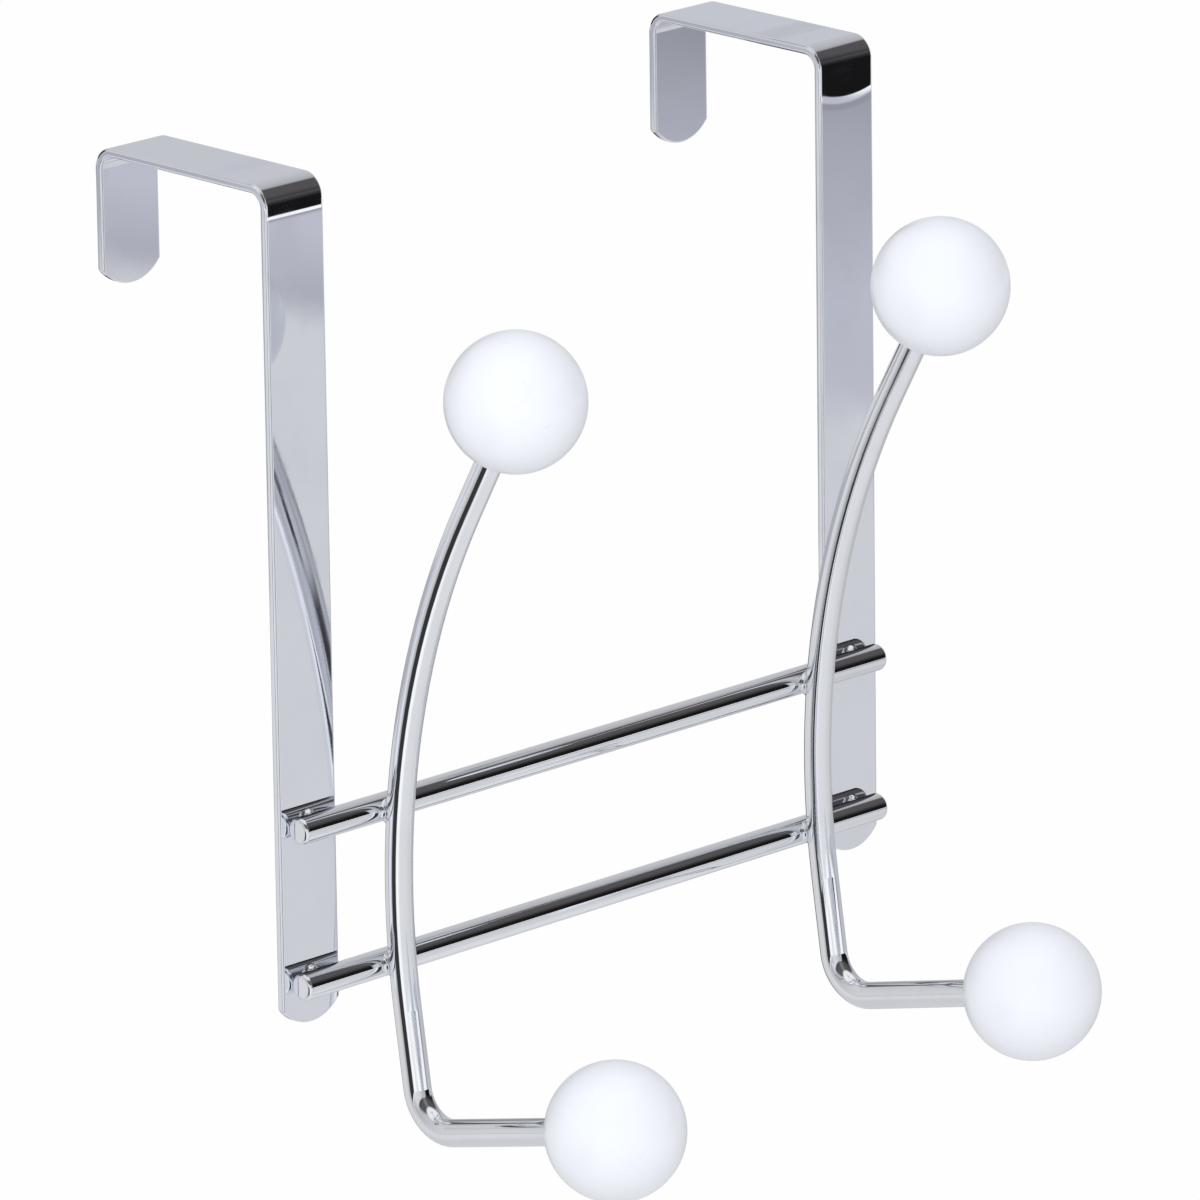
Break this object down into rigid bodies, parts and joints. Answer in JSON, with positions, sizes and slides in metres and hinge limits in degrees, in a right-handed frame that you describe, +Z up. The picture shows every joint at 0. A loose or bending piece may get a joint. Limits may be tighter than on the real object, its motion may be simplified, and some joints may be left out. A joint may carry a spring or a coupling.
{
  "type": "over-door coat hook rail",
  "caption": "Chromed over-door coat hook rail: bent flat straps carry round crossbars, with double rod hooks tipped by white balls.",
  "frame": {"origin": "midway between the two straps, where the door's front face meets its top edge", "axes": "+X along the crossbars towards the right-hand hook seen from the front, +Y from the room into the door, +Z up"},
  "size_m": [0.179, 0.1405, 0.2109],
  "materials": {
    "chrome_strap": "polished chrome plate on flat steel",
    "chrome_rod": "polished chrome plate on drawn steel rod",
    "chrome_weld": "chrome plate over weld metal",
    "white_ball": "smooth satin white plastic"
  },
  "bodies": {
    "root": {"strap_left": "chrome_strap", "strap_right": "chrome_strap", "crossbar_upper": "chrome_rod", "crossbar_lower": "chrome_rod", "hook_left": "chrome_rod", "hook_right": "chrome_rod", "ball_upper_left": "white_ball", "ball_upper_right": "white_ball", "ball_lower_left": "white_ball", "ball_lower_right": "white_ball", "strap_weld_upper_left": "chrome_weld", "strap_weld_upper_right": "chrome_weld", "strap_weld_lower_left": "chrome_weld", "strap_weld_lower_right": "chrome_weld", "hook_weld_upper_left": "chrome_weld", "hook_weld_upper_right": "chrome_weld", "hook_weld_lower_left": "chrome_weld", "hook_weld_lower_right": "chrome_weld"}
  },
  "joints": []
}
